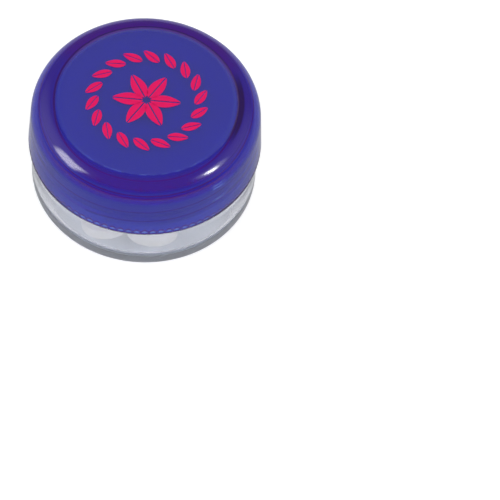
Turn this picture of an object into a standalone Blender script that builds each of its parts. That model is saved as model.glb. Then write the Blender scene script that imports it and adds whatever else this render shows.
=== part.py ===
"""Round screw top mint pot: a thick clear jar full of mints, a loose seal disc and a tinted lid.

The pot stands closed on the XY plane, centred on the Z axis, with the lid screwed down. The jar and
the lid carry a matching two start thread: turned anticlockwise seen from above, the lid climbs by one
lead for each turn. All lengths are in metres.
"""

import math
import random

import bmesh
import bpy
import numpy as np
from mathutils import Vector

MM = 0.001

# Fit between the pieces
SEAT_GAP = 0.3 * MM
THREAD_CLEARANCE = 0.45 * MM
SEAL_CLEARANCE = 0.35 * MM
MINT_GAP = 0.3 * MM
WELD_DISTANCE = 0.001 * MM

# Jar
BORE_RADIUS = 18.9 * MM
BORE_DRAFT = 0.2 * MM
FLOOR_THICKNESS = 2.0 * MM
FLOOR_FILLET = 1.0 * MM
FOOT_FILLET = 4.0 * MM
FOOT_RING_WIDTH = 3.0 * MM
FOOT_RECESS_DEPTH = 0.5 * MM
LEDGE_HEIGHT = 12.5 * MM
LEDGE_STEP = 0.15 * MM
LEDGE_OVERHANG = 0.5 * MM
LEDGE_DEPTH = 1.4 * MM
LEDGE_ROUND = 0.3 * MM
NECK_WALL = 1.0 * MM
NECK_HEIGHT = 8.9 * MM
NECK_FILLET = 0.9 * MM
RIM_ROUND = 0.4 * MM
RIM_ROUND_SHARE = 0.45

# Thread, the same helix on the jar's neck and inside the lid
THREAD_STARTS = 2
THREAD_PITCH = 2.75 * MM
THREAD_DEPTH = 1.0 * MM
THREAD_ROOT_WIDTH = 1.3 * MM
THREAD_CREST_WIDTH = 0.7 * MM
THREAD_SINK = 0.3 * MM
THREAD_RUN_OUT_TURNS = 0.07
THREAD_FIRST_ANGLE = math.radians(-62.0)
THREAD_LEDGE_MARGIN = 1.1 * MM
THREAD_RIM_MARGIN = 1.0 * MM

# Lid
LID_TOP_THICKNESS = 1.4 * MM
LID_WALL = 1.15 * MM
LID_FLARE = 0.45 * MM
LID_FILLET = 4.8 * MM
LID_EDGE_ROUND = 0.3 * MM
LID_LIP_DEPTH = 1.3 * MM
LID_LIP_RELIEF = 0.4 * MM
PRESS_RING_WIDTH = 1.9 * MM
PRESS_RING_DEPTH = 1.3 * MM

# Seal disc
SEAL_THICKNESS = 0.9 * MM
SEAL_LIP_DEPTH = 1.1 * MM
SEAL_LIP_WIDTH = 0.8 * MM

# Mints
MINT_RADIUS = 4.5 * MM
MINT_BAND = 2.4 * MM
MINT_CROWN = 1.6 * MM
MINT_HEADSPACE = 4.3 * MM
MINT_LIMIT = 57
POURED_SHARE = 0.47

# How the mints are poured, in rounds and in shares of a mint's radius
PILE_SEED = 3
PILE_ROUNDS = 1300
PILE_DIGITS = 7
LAYER_COUNT = 10
LAYER_RISE_SHARE = 1.5
GOLDEN_SHARE = 0.382
SINK_SHARE = 0.015
SINKING_SHARE = 0.65
LEVELLING_SHARE = 0.6
PUSH_SHARE = 0.25
SKIN_RADIUS_SHARES = (0.0, 0.45, 0.8, 1.0)
SKIN_COUNTS = (1, 6, 10, 16)

# Facets
TURN_STEPS = 60
ARC_STEPS = 4
FILLET_STEPS = 6
MINT_STEPS = 16

# Radii that follow from the sizes above, from the jar's mouth outwards
RIM_RADIUS = BORE_RADIUS + BORE_DRAFT
NECK_RADIUS = RIM_RADIUS + NECK_WALL
LID_CREST_RADIUS = NECK_RADIUS + THREAD_CLEARANCE
LID_BORE_RADIUS = LID_CREST_RADIUS + THREAD_DEPTH
LID_RADIUS = LID_BORE_RADIUS + LID_WALL
LID_EDGE_RADIUS = LID_RADIUS + LID_FLARE
LEDGE_RADIUS = LID_EDGE_RADIUS - LEDGE_STEP
BODY_RADIUS = LEDGE_RADIUS - LEDGE_OVERHANG
SEAL_RADIUS = LID_CREST_RADIUS - SEAL_CLEARANCE
SEAL_LIP_RADIUS = RIM_RADIUS - SEAL_CLEARANCE

# Heights that follow, from the ledge upwards; those of the lid's own features are above its lower edge
RIM_HEIGHT = LEDGE_HEIGHT + NECK_HEIGHT
MINT_FILL_HEIGHT = RIM_HEIGHT - MINT_HEADSPACE
LID_BASE = LEDGE_HEIGHT + SEAT_GAP
SEAL_BASE = RIM_HEIGHT + SEAT_GAP
LID_CEILING = SEAL_BASE + SEAL_THICKNESS + SEAT_GAP + PRESS_RING_DEPTH - LID_BASE
LID_HEIGHT = LID_CEILING + LID_TOP_THICKNESS
LID_INNER_FILLET = LID_FILLET - LID_WALL
THREAD_LEAD = THREAD_STARTS * THREAD_PITCH
NECK_THREAD_START = LEDGE_HEIGHT + THREAD_LEDGE_MARGIN + THREAD_ROOT_WIDTH / 2
NECK_THREAD_RISE = RIM_HEIGHT - THREAD_RIM_MARGIN - THREAD_ROOT_WIDTH / 2 - NECK_THREAD_START
LID_THREAD_START = LID_LIP_DEPTH + THREAD_ROOT_WIDTH / 2
LID_THREAD_RISE = LID_CEILING - LID_INNER_FILLET - THREAD_ROOT_WIDTH / 2 - LID_THREAD_START


def clear_scene():
    """Removes whatever the open file holds."""
    for obj in list(bpy.data.objects):
        bpy.data.objects.remove(obj)


def plastic(name, colour, roughness, transmission=0.0):
    """A Principled material for one of the pot's plastics, or for the mints."""
    material = bpy.data.materials.new(name)
    material.use_nodes = True
    shader = material.node_tree.nodes["Principled BSDF"]
    shader.inputs["Base Color"].default_value = (*colour, 1.0)
    shader.inputs["Roughness"].default_value = roughness
    shader.inputs["Metallic"].default_value = 0.0
    shader.inputs["Transmission Weight"].default_value = transmission
    material.diffuse_color = (*colour, 1.0)
    return material


def arc(centre, radius, start_degrees, end_degrees, steps):
    """Points (r, z) along part of a circle in the half plane of a turned profile."""
    points = []
    for step in range(steps + 1):
        angle = math.radians(start_degrees + (end_degrees - start_degrees) * step / steps)
        points.append((centre[0] + radius * math.cos(angle), centre[1] + radius * math.sin(angle)))
    return points


def new_object(name, mesh_source, material, location=(0.0, 0.0, 0.0)):
    """Turns a bmesh into a smooth shaded object with sharp corners."""
    mesh = bpy.data.meshes.new(name)
    bmesh.ops.recalc_face_normals(mesh_source, faces=mesh_source.faces)
    mesh_source.to_mesh(mesh)
    mesh_source.free()
    mesh.shade_smooth()
    mesh.set_sharp_from_angle(angle=math.radians(35.0))
    obj = bpy.data.objects.new(name, mesh)
    obj.location = location
    if material:
        mesh.materials.append(material)
    bpy.context.scene.collection.objects.link(obj)
    return obj


def turned(profile, steps):
    """A closed solid of revolution: the profile of (r, z) points starts and ends on the Z axis."""
    solid = bmesh.new()
    verts = [solid.verts.new((radius, 0.0, height)) for radius, height in profile]
    edges = [solid.edges.new(pair) for pair in zip(verts, verts[1:])]
    bmesh.ops.spin(
        solid,
        geom=verts + edges,
        cent=(0.0, 0.0, 0.0),
        axis=(0.0, 0.0, 1.0),
        angle=math.tau,
        steps=steps,
        use_merge=True,
    )
    bmesh.ops.remove_doubles(solid, verts=solid.verts, dist=WELD_DISTANCE)
    return solid


def thread_ridge(name, root_radius, crest_radius, first_angle, first_height, whole_rise):
    """Every start of a helical ridge, which runs out into the wall at each end, as a hidden solid."""
    ridge = bmesh.new()
    sink = math.copysign(THREAD_SINK, root_radius - crest_radius)
    stations = round(whole_rise / THREAD_LEAD * TURN_STEPS)
    run_out = THREAD_RUN_OUT_TURNS * TURN_STEPS
    for start in range(THREAD_STARTS):
        rings = []
        for station in range(stations + 1):
            share = min(1.0, station / run_out, (stations - station) / run_out)
            crest = root_radius + sink / 2 + (crest_radius - root_radius - sink / 2) * share
            turn = station / TURN_STEPS
            angle = first_angle + math.tau * (turn + start / THREAD_STARTS)
            height = first_height + THREAD_LEAD * turn
            section = (
                (root_radius + sink, -THREAD_ROOT_WIDTH / 2),
                (crest, -THREAD_CREST_WIDTH / 2),
                (crest, THREAD_CREST_WIDTH / 2),
                (root_radius + sink, THREAD_ROOT_WIDTH / 2),
            )
            rings.append(
                [
                    ridge.verts.new((radius * math.cos(angle), radius * math.sin(angle), height + rise))
                    for radius, rise in section
                ]
            )
        for ring, following in zip(rings, rings[1:]):
            for side in range(len(ring)):
                other = (side + 1) % len(ring)
                ridge.faces.new((ring[side], ring[other], following[other], following[side]))
        ridge.faces.new(rings[0])
        ridge.faces.new(rings[-1])
    guide = new_object(name, ridge, None)
    guide.hide_render = True
    guide.display_type = "WIRE"
    return guide


def add_thread(piece, guide):
    """Joins a thread ridge to the wall that carries it."""
    guide.parent = piece
    union = piece.modifiers.new("thread", "BOOLEAN")
    union.operation = "UNION"
    union.solver = "EXACT"
    union.object = guide


def make_jar(material):
    """The clear jar: recessed foot, thick wall, ledge for the lid and threaded neck."""
    fillet_centre = (BODY_RADIUS - FOOT_FILLET, FOOT_FILLET)
    foot_ring_radius = BODY_RADIUS - FOOT_FILLET - FOOT_RING_WIDTH
    rim_round = min(RIM_ROUND, RIM_ROUND_SHARE * NECK_WALL)
    profile = [
        (0.0, FOOT_RECESS_DEPTH),
        (foot_ring_radius - FOOT_RECESS_DEPTH, FOOT_RECESS_DEPTH),
        (foot_ring_radius, 0.0),
        *arc(fillet_centre, FOOT_FILLET, -90.0, 0.0, FILLET_STEPS),
        (BODY_RADIUS, LEDGE_HEIGHT - LEDGE_DEPTH),
        (LEDGE_RADIUS, LEDGE_HEIGHT - LEDGE_DEPTH + LEDGE_OVERHANG),
        *arc((LEDGE_RADIUS - LEDGE_ROUND, LEDGE_HEIGHT - LEDGE_ROUND), LEDGE_ROUND, 0.0, 90.0, 2),
        *arc((NECK_RADIUS + NECK_FILLET, LEDGE_HEIGHT + NECK_FILLET), NECK_FILLET, 270.0, 180.0, ARC_STEPS),
        *arc((NECK_RADIUS - rim_round, RIM_HEIGHT - rim_round), rim_round, 0.0, 90.0, ARC_STEPS),
        *arc((RIM_RADIUS + rim_round, RIM_HEIGHT - rim_round), rim_round, 90.0, 180.0, ARC_STEPS),
        *arc(
            (BORE_RADIUS - FLOOR_FILLET, FLOOR_THICKNESS + FLOOR_FILLET), FLOOR_FILLET, 0.0, -90.0, ARC_STEPS
        ),
        (0.0, FLOOR_THICKNESS),
    ]
    jar = new_object("jar", turned(profile, TURN_STEPS), material)
    guide = thread_ridge(
        "jar_thread_guide",
        NECK_RADIUS,
        NECK_RADIUS + THREAD_DEPTH,
        THREAD_FIRST_ANGLE,
        NECK_THREAD_START,
        NECK_THREAD_RISE,
    )
    add_thread(jar, guide)
    return jar


def make_lid(material):
    """The tinted lid: flat top with a rounded edge, flared skirt, pressing ring and inner thread."""
    lip_radius = LID_BORE_RADIUS + LID_LIP_RELIEF
    fillet_centre = (LID_BORE_RADIUS - LID_INNER_FILLET, LID_CEILING - LID_INNER_FILLET)
    ring_share = min(1.0, max(0.0, (NECK_RADIUS - fillet_centre[0]) / LID_INNER_FILLET))
    ring_angle = math.degrees(math.acos(ring_share))
    profile = [
        (0.0, LID_HEIGHT),
        *arc((LID_RADIUS - LID_FILLET, LID_HEIGHT - LID_FILLET), LID_FILLET, 90.0, 0.0, FILLET_STEPS),
        *arc((LID_EDGE_RADIUS - LID_EDGE_ROUND, LID_EDGE_ROUND), LID_EDGE_ROUND, 0.0, -90.0, 2),
        (lip_radius, 0.0),
        (lip_radius, LID_LIP_DEPTH - LID_LIP_RELIEF),
        (LID_BORE_RADIUS, LID_LIP_DEPTH),
        *arc(fillet_centre, LID_INNER_FILLET, 0.0, ring_angle, ARC_STEPS),
        (NECK_RADIUS, LID_CEILING - PRESS_RING_DEPTH),
        (NECK_RADIUS - PRESS_RING_WIDTH, LID_CEILING - PRESS_RING_DEPTH),
        (NECK_RADIUS - PRESS_RING_WIDTH, LID_CEILING),
        (0.0, LID_CEILING),
    ]
    lid = new_object("lid", turned(profile, TURN_STEPS), material, (0.0, 0.0, LID_BASE))
    turns_up_the_track = (LID_BASE + LID_THREAD_START + THREAD_PITCH / 2 - NECK_THREAD_START) / THREAD_LEAD
    guide = thread_ridge(
        "lid_thread_guide",
        LID_BORE_RADIUS,
        LID_CREST_RADIUS,
        THREAD_FIRST_ANGLE + math.tau * turns_up_the_track,
        LID_THREAD_START,
        LID_THREAD_RISE,
    )
    add_thread(lid, guide)
    return lid


def make_seal_disc(material):
    """The thin disc that lies on the rim, with a lip that centres it in the mouth."""
    profile = [
        (0.0, SEAL_THICKNESS),
        (SEAL_RADIUS, SEAL_THICKNESS),
        (SEAL_RADIUS, 0.0),
        (SEAL_LIP_RADIUS, 0.0),
        (SEAL_LIP_RADIUS, -SEAL_LIP_DEPTH),
        (SEAL_LIP_RADIUS - SEAL_LIP_WIDTH, -SEAL_LIP_DEPTH),
        (SEAL_LIP_RADIUS - SEAL_LIP_WIDTH, 0.0),
        (0.0, 0.0),
    ]
    return new_object("seal_disc", turned(profile, TURN_STEPS), material, (0.0, 0.0, SEAL_BASE))


def crown_ball_radius():
    """Radius of the ball that each face of a mint is cut from."""
    return (MINT_RADIUS**2 + MINT_CROWN**2) / (2 * MINT_CROWN)


def mint_height():
    """Overall height of a mint that lies flat."""
    return MINT_BAND + 2 * MINT_CROWN


def first_mint(material):
    """One pressed mint: a straight band with a shallow crown above and below."""
    ball = crown_ball_radius()
    edge_angle = math.degrees(math.asin(MINT_RADIUS / ball))
    upper = arc((0.0, mint_height() / 2 - ball), ball, 90.0, 90.0 - edge_angle, 2)
    upper[0] = (0.0, upper[0][1])
    profile = upper + [(radius, -height) for radius, height in reversed(upper)]
    return new_object("mint_01", turned(profile, MINT_STEPS), material)


def mint_count():
    """How many mints fill the jar to their level when poured in."""
    space = math.pi * BORE_RADIUS**2 * (MINT_FILL_HEIGHT - FLOOR_THICKNESS)
    crown = math.pi * MINT_CROWN * (3 * MINT_RADIUS**2 + MINT_CROWN**2) / 6
    mint = math.pi * MINT_RADIUS**2 * MINT_BAND + 2 * crown
    return min(MINT_LIMIT, int(POURED_SHARE * space / mint))


def dot(first, second):
    """Scalar product of rows of vectors, term by term."""
    product = first * second
    return product[..., 0] + product[..., 1] + product[..., 2]


def unit(vectors):
    """Each vector at length one."""
    return vectors / np.sqrt(dot(vectors, vectors))[..., None]


class MintPile:
    """Mints poured into the jar, worked out in mint radii.

    They start in loose layers. Each round lowers them a little, then moves and tips apart any that
    come nearer than the gap to each other, to the wall or to the floor, until none of them do.
    """

    def __init__(self):
        self.count = mint_count()
        self.gap = MINT_GAP / MINT_RADIUS
        self.bore = BORE_RADIUS / MINT_RADIUS
        self.floor = FLOOR_THICKNESS / MINT_RADIUS
        self.level = MINT_FILL_HEIGHT / MINT_RADIUS
        self.ball = crown_ball_radius() / MINT_RADIUS
        self.half_height = mint_height() / 2 / MINT_RADIUS
        self.offset = self.ball - self.half_height
        self.spin = 1 / 4 + self.half_height**2 / 3
        self.skin = self.skin_points()
        self.centre = np.array([self.first_place(number) for number in range(self.count)])
        draw = random.Random(PILE_SEED)
        self.along = unit(np.array([[draw.gauss(0, 1) for _ in range(3)] for _ in range(self.count)]))
        helper = np.roll(self.along, 1, axis=1)
        self.across = unit(np.cross(self.along, helper))

    def skin_points(self):
        """Points all over one mint, in its own frame, that feel for its neighbours."""
        points = [(math.cos(turn), math.sin(turn), 0.0) for turn in spread(SKIN_COUNTS[-1], 0.5)]
        for side in (-1.0, 1.0):
            for share, count in zip(SKIN_RADIUS_SHARES, SKIN_COUNTS):
                height = math.sqrt(self.ball**2 - share**2) - self.offset
                for turn in spread(count, side / 4):
                    points.append((share * math.cos(turn), share * math.sin(turn), side * height))
        return np.array(points)

    def first_place(self, number):
        """A place in loose layers, high enough that no two mints meet."""
        layer, place = divmod(number, LAYER_COUNT)
        turn = math.tau * (place * GOLDEN_SHARE + layer / LAYER_COUNT)
        radius = (self.bore - 1 - self.gap) * math.sqrt((place + 0.5) / LAYER_COUNT)
        rise = self.floor + 1 + self.gap + layer * LAYER_RISE_SHARE
        return (radius * math.cos(turn), radius * math.sin(turn), rise)

    def skins(self):
        """The skin points of every mint, in place."""
        other = np.cross(self.along, self.across)
        frames = np.stack([self.across, other, self.along], axis=1)
        points = self.centre[:, None, :]
        for axis in range(3):
            points = points + self.skin[None, :, axis : axis + 1] * frames[:, None, axis]
        return points

    def push(self, bodies, arms, normals, amounts):
        """Adds a shift along a normal, and the turn that goes with it, to each named mint."""
        np.add.at(self.shift, bodies, amounts[:, None] * normals)
        np.add.at(self.turn, bodies, amounts[:, None] * arms / self.spin)
        np.add.at(self.pushes, bodies, 1.0)

    def part_neighbours(self, points):
        """Pushes apart the mints whose skins are nearer than the gap."""
        between = self.centre[:, None] - self.centre[None]
        near = dot(between, between) < (2 * math.hypot(1.0, self.half_height) + self.gap) ** 2
        np.fill_diagonal(near, False)
        first, second = np.nonzero(near)
        reach = points[first] - self.centre[second][:, None]
        axis = self.along[second][:, None]
        height = dot(reach, axis)
        flat = reach - height[..., None] * axis
        radius = np.sqrt(dot(flat, flat))
        distances = np.stack(
            [
                np.sqrt(radius**2 + (height + self.offset) ** 2) - self.ball,
                np.sqrt(radius**2 + (height - self.offset) ** 2) - self.ball,
                radius - 1.0,
            ]
        )
        depth = distances.max(axis=0)
        deepest = depth.argmin(axis=1)
        pick = np.arange(len(first))
        depth = depth[pick, deepest]
        face = distances[:, pick, deepest].argmax(axis=0)
        rise = np.choose(face, [1.0, 1.0, 0.0]) * height[pick, deepest]
        rise = rise + np.choose(face, [self.offset, -self.offset, 0.0])
        normal = unit(flat[pick, deepest] + rise[:, None] * self.along[second])
        hit = depth < self.gap
        first, second, normal, depth = first[hit], second[hit], normal[hit], depth[hit]
        touch = points[first, deepest[hit]]
        arm_first = np.cross(touch - self.centre[first], normal)
        arm_second = np.cross(touch - self.centre[second], normal)
        ease = 2.0 + (dot(arm_first, arm_first) + dot(arm_second, arm_second)) / self.spin
        amount = (self.gap - depth) / ease
        self.push(first, arm_first, normal, amount)
        self.push(second, arm_second, normal, -amount)

    def part_from_jar(self, points, limits):
        """Pushes mints back inside the wall, the floor and, at the end, their level."""
        radius = np.hypot(points[..., 0], points[..., 1])
        upright = np.zeros_like(points)
        upright[..., 2] = 1.0
        inward = -points / radius[..., None]
        inward[..., 2] = 0.0
        rooms = {
            "wall": (self.bore - radius, inward),
            "floor": (points[..., 2] - self.floor, upright),
            "level": (self.level + self.gap - points[..., 2], -upright),
        }
        for limit in limits:
            room, normals = rooms[limit]
            nearest = room.argmin(axis=1)
            room = room[np.arange(self.count), nearest]
            bodies = np.nonzero(room < self.gap)[0]
            normal = normals[bodies, nearest[bodies]]
            arm = np.cross(points[bodies, nearest[bodies]] - self.centre[bodies], normal)
            amount = (self.gap - room[bodies]) / (1.0 + dot(arm, arm) / self.spin)
            self.push(bodies, arm, normal, amount)

    def settle(self):
        """Runs every round, and leaves the mints at rest."""
        for step in range(PILE_ROUNDS):
            share = step / PILE_ROUNDS
            self.centre[:, 2] -= SINK_SHARE * max(0.0, 1.0 - share / SINKING_SHARE)
            self.shift = np.zeros_like(self.centre)
            self.turn = np.zeros_like(self.centre)
            self.pushes = np.zeros(self.count)
            points = self.skins()
            limits = ("wall", "floor", "level") if share > LEVELLING_SHARE else ("wall", "floor")
            self.part_neighbours(points)
            self.part_from_jar(points, limits)
            ease = 1.0 / np.maximum(1.0, self.pushes * PUSH_SHARE)[:, None]
            self.centre = np.round(self.centre + self.shift * ease, PILE_DIGITS)
            self.along = unit(self.along + np.cross(self.turn * ease, self.along))
            self.along = np.round(self.along, PILE_DIGITS)
            across = self.across + np.cross(self.turn * ease, self.across)
            across = across - dot(across, self.along)[:, None] * self.along
            self.across = np.round(unit(across), PILE_DIGITS)


def spread(count, shift):
    """Angles spaced evenly round a turn, the first one shifted by a share of a step."""
    return [math.tau * (number + shift) / count for number in range(count)]


def make_mints(material):
    """The pile of mints in the jar, each its own object that shares one mesh."""
    pile = MintPile()
    pile.settle()
    first = first_mint(material)
    upright = Vector((0.0, 0.0, 1.0))
    mints = []
    for number in range(pile.count):
        mint = first
        if number > 0:
            mint = bpy.data.objects.new(f"mint_{number + 1:02d}", first.data)
            bpy.context.scene.collection.objects.link(mint)
        mint.location = Vector(pile.centre[number]) * MINT_RADIUS
        mint.rotation_euler = upright.rotation_difference(Vector(pile.along[number])).to_euler()
        mints.append(mint)
    return mints


def main():
    clear_scene()
    clear_plastic = plastic("clear_styrene", (0.86, 0.87, 0.90), 0.05, 0.9)
    blue_plastic = plastic("blue_styrene", (0.03, 0.04, 0.35), 0.08, 0.6)
    seal_plastic = plastic("natural_polyethylene", (0.80, 0.82, 0.85), 0.4, 0.4)
    sugar = plastic("pressed_mint", (0.90, 0.90, 0.89), 0.6)
    jar = make_jar(clear_plastic)
    make_lid(blue_plastic)
    make_seal_disc(seal_plastic)
    for mint in make_mints(sugar):
        mint.parent = jar


main()
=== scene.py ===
"""Looks of the round screw top mint pot, laid out as a Blender add-on and run as a script.

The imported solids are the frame: metres, the pot standing on the XY plane and centred on the Z axis, the
viewer on the -Y side. Every piece here takes its place from them. The jar, the lid and the seal disc are
turned from an outline by one Geometry Nodes tree, which also raises the thread and sinks the small arches
over the lid's lower edge. A second tree pours the mints, and a third lays out the print on the lid.
"""

import math
from functools import reduce

import bpy
import numpy as np
from bpy.props import FloatProperty, FloatVectorProperty, IntProperty, PointerProperty
from mathutils import Matrix, Vector


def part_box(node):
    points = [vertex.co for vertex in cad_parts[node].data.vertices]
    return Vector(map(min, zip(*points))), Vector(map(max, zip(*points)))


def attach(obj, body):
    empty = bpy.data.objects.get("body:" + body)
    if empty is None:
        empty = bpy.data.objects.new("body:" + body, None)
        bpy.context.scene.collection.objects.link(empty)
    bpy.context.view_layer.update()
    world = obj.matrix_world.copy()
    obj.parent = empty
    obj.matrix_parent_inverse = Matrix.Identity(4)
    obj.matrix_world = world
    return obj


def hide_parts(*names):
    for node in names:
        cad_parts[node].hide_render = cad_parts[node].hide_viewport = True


bl_info = {
    "name": "Mint Pot",
    "version": (1, 0, 0),
    "blender": (4, 5, 0),
    "location": "3D View > Sidebar > Mint Pot",
    "description": "Dresses a clear screw top pot of mints with a tinted lid",
    "category": "Object",
}

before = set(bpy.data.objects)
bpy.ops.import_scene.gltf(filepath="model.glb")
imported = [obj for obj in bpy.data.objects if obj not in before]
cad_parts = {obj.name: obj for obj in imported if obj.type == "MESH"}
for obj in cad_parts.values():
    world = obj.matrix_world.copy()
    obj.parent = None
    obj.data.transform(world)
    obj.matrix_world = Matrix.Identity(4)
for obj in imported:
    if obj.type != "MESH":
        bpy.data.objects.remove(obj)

MM = 0.001
WELD_DISTANCE = 0.0005 * MM
ROUND_STEPS = 6
LEAF_STEPS = 16
# Mesh columns round the jar, the seal disc and a mint, and across each of the lid's arches
JAR_COLUMNS, SEAL_COLUMNS, MINT_COLUMNS, ARCH_COLUMNS = 320, 192, 48, 7
OUTLINE_MARKS = ("threaded", "arched", "outer")
PLASTIC_IOR = 1.57
SOFT_PLASTIC_IOR = 1.51
ARCH_SPAN_SHARE = 0.98
# Lines round the lid, in millimetres across and then down from the middle of its top: the line's middle, how
# much further out it lies at the front, half its width and its softness. Then its share, and on which side.
# The first table lays violet on the shoulder, partly the deeper dye where the plastic is thick and partly
# painted shade; the second lays painted shade in indigo at the front, the third the darkest painted shade and
# dark reflections, and the fourth painted highlights in azure, among them a lamp's glints on the thread
# inside
SHOULDER_LINES = (
    (18.15, 1.35, 0.12, 0.35, 1.0, "all"),
    (20.6, 0.0, 1.6, 1.2, 0.62, "all"),
    (19.5, 0.0, 1.6, 1.2, 1.0, "back"),
    (18.7, 0.0, 0.5, 0.5, 0.4, "front"),
    (20.9, 0.0, 1.0, 0.6, 0.8, "front"),
    (21.6, 0.0, 0.4, 0.8, 0.95, "patchy_front"),
    (22.2, 1.4, 0.10, 0.35, 1.0, "all"),
    (22.9, 0.0, 0.6, 0.9, 0.3, "all"),
    (24.4, 0.1, 0.2, 0.5, 1.0, "front"),
    (25.1, 0.0, 0.2, 0.7, 0.2, "front"),
)
INDIGO_SHADE_LINES = (
    (22.9, 0.0, 0.6, 0.9, 0.3, "front"),
    (25.1, 0.0, 0.5, 0.9, 1.0, "front"),
)
PAINTED_SHADE_LINES = (
    (18.1, 1.35, 0.02, 0.3, 0.6, "behind"),
    (18.7, 0.0, 0.5, 0.5, 0.85, "right"),
    (35.6, 0.0, 0.3, 0.25, 0.9, "flanks"),
    (22.2, 1.4, 0.02, 0.25, 0.3, "all"),
    (24.5, 0.1, 0.2, 0.8, 0.12, "front"),
)
PAINTED_LIGHT_LINES = (
    (17.3, 0.0, 0.02, 0.4, 0.2, "behind"),
    (17.9, 0.0, 0.02, 0.3, 0.5, "patchy_front"),
    (23.1, 0.0, 0.1, 0.4, 0.15, "front"),
    (25.7, 0.0, 0.1, 0.2, 1.0, "glint"),
    (26.5, 0.0, 0.12, 0.2, 1.0, "glint"),
    (30.3, 0.0, 0.12, 0.2, 0.9, "glint"),
    (33.4, 0.0, 0.4, 1.6, 0.2, "all"),
)
# The thread inside shows through the skirt as soft lines: height of one at +X, lowest and highest, over how
# much height their ends fade, half their width, softness and share
TRACK_LINES = (18.3, 15.9, 20.9, 0.4, 0.12, 0.4, 0.55)
# Painted shade on the jar's wall where its thick base lies behind it, in place of the shaded floor seen
# through the base. Heights between which that grows, and between which it fades. Below, the wall has a little
# painted shade and is a little hazy: heights of that edge, the share of painted shade, how hazy
PAINTED_BASE_SHADE = (3.9, 4.7, 5.35, 5.45)
FOOT_PAINTED_SHADE_AND_HAZE = (3.8, 4.6, 0.25, 0.06)
# Windows that show in the gloss: brightness, azimuth (0 on the viewer's side, 90 at +X), elevation, half the
# width and half the height in degrees, softness
GLOSS_PATCHES = (
    (0.7, 180.0, 53.7, 6.2, 5.5, 0.4),
    (0.82, -95.0, 35.0, 50.0, 45.0, 0.9),
    (0.58, 95.0, 35.0, 50.0, 45.0, 0.9),
    (7.7, -75.0, 38.0, 16.0, 18.0, 0.6),
    (34.0, 77.5, 47.0, 7.5, 9.0, 1.0),
    (3.5, 80.0, 47.0, 17.0, 17.0, 0.95),
)
# Lamps: azimuth and elevation in degrees, width and height in metres, radiance
LAMPS = {
    "left_lamp": (-75.0, 45.0, 0.4, 0.4, 1.9),
    "right_lamp": (78.0, 47.0, 0.3, 0.3, 2.7),
    "front_lamp": (6.0, 14.0, 0.3, 0.2, 2.4),
}
LAMP_DISTANCE = 0.6
# The floor's reach and drop in metres, and how much it glows by itself for each kind of ray
FLOOR_REACH = 1.5
FLOOR_DROP = 0.05 * MM
FLOOR_GLOW = {"Is Camera Ray": 0.6, "Is Transmission Ray": 0.42, "Is Glossy Ray": 0.05}
# The light from all round, low and high, as shares of the ambient strength
LOW_SKY, HIGH_SKY = 1.3, 0.54
PICTURE_PIXELS = 500.0
# What is left of a lamp's light behind each plastic
CLEAR_SHADE = (0.98, 0.98, 0.98)
BLUE_SHADE = (0.78, 0.78, 0.84)
MILKY_SHADE = (0.8, 0.81, 0.84)
MINT_NODES = sorted(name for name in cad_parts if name.startswith("mint_"))
JAR_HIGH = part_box("jar")[1]
LID_LOW, LID_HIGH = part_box("lid")
SEAL_LOW, SEAL_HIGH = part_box("seal_disc")


def length(name, description, millimetres):
    """A property that holds a length, whose default is given in millimetres."""
    metres = millimetres * MM
    return FloatProperty(name=name, description=description, default=metres, unit="LENGTH", precision=5)


def share(name, description, default):
    """A property that holds a share from none to all."""
    limits = {"min": 0.0, "max": 1.0}
    return FloatProperty(name=name, description=description, default=default, subtype="FACTOR", **limits)


def angle(name, description, degrees):
    """A property that holds an angle, whose default is given in degrees."""
    return FloatProperty(name=name, description=description, default=math.radians(degrees), subtype="ANGLE")


def number(name, description, default):
    """A property that holds a plain number."""
    return FloatProperty(name=name, description=description, default=default)


def count(name, description, default, lowest=3):
    """A property that holds a whole number."""
    return IntProperty(name=name, description=description, default=default, min=lowest)


def colour(name, description, default):
    """A property that holds a colour."""
    kind = {"size": 3, "min": 0.0, "max": 1.0, "subtype": "COLOR"}
    return FloatVectorProperty(name=name, description=description, default=default, **kind)


def group(kind, name, description):
    """A property that holds a group of properties."""
    return PointerProperty(type=kind, name=name, description=description)


class MintPotJar(bpy.types.PropertyGroup):
    """Sizes of the clear jar."""

    body_radius: length("Body radius", "Outside of the wall below the ledge", 22.5)
    foot_fillet: length("Foot fillet", "Rounding of the wall into the foot", 2.9)
    foot_ring_width: length("Foot ring width", "Flat ring that the jar stands on", 4.1)
    foot_recess: length("Foot recess", "Depth of the hollow under the floor", 0.5)
    floor_thickness: length("Floor thickness", "Height of the floor inside", 2.0)
    floor_fillet: length("Floor fillet", "Rounding of the floor into the bore", 1.5)
    bore_radius: length("Bore radius", "Inside of the wall at the floor", 18.9)
    bore_draft: length("Bore draft", "How much wider the bore is at the rim", 0.2)
    ledge_height: length("Ledge height", "Height of the ledge that the lid closes on", 12.7)
    ledge_depth: length("Ledge depth", "Height of the ledge's band", 1.6)
    neck_radius: length("Neck radius", "Outside of the neck between the ridges", 20.1)
    neck_fillet: length("Neck fillet", "Rounding of the neck into the ledge", 0.9)
    rim_round: length("Rim rounding", "Rounding of the rim", 0.4)


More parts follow.
